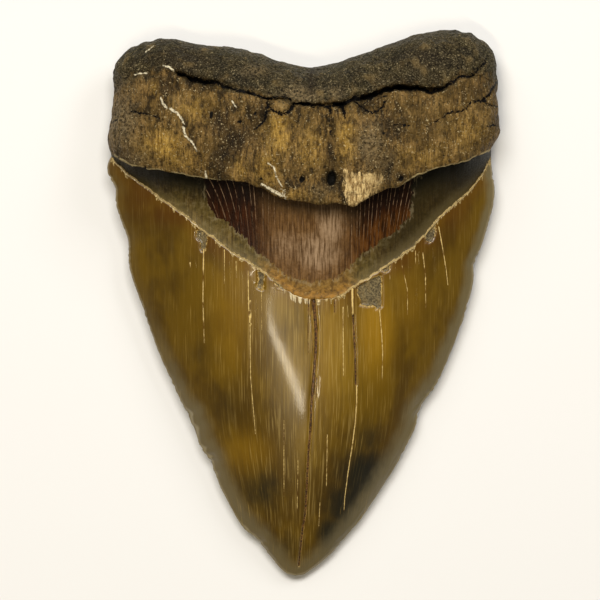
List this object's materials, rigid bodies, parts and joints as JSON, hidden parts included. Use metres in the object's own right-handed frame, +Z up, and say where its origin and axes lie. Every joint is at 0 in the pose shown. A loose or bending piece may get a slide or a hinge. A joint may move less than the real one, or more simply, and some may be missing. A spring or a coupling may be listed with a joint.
{
  "type": "fossil shark tooth",
  "caption": "Fossil megalodon tooth lying on its flat face: a broad tapering enamel crown with chipped edges and long cracks, under a thick, pitted and cracked root.",
  "frame": {"origin": "centre of the tooth's plan box, at the height of the flat patch that it rests on", "axes": "+Y runs from the tip of the crown to the root, +X to the right as the bulging inner face is seen with the root up, +Z up out of that face"},
  "size_m": [0.0992, 0.137, 0.0267],
  "materials": {
    "tooth": "mineralised fossil tooth: glossy dark amber enamel, satin dentine neck, rough grey-brown root"
  },
  "bodies": {
    "root": {"tooth": "tooth"}
  },
  "joints": []
}
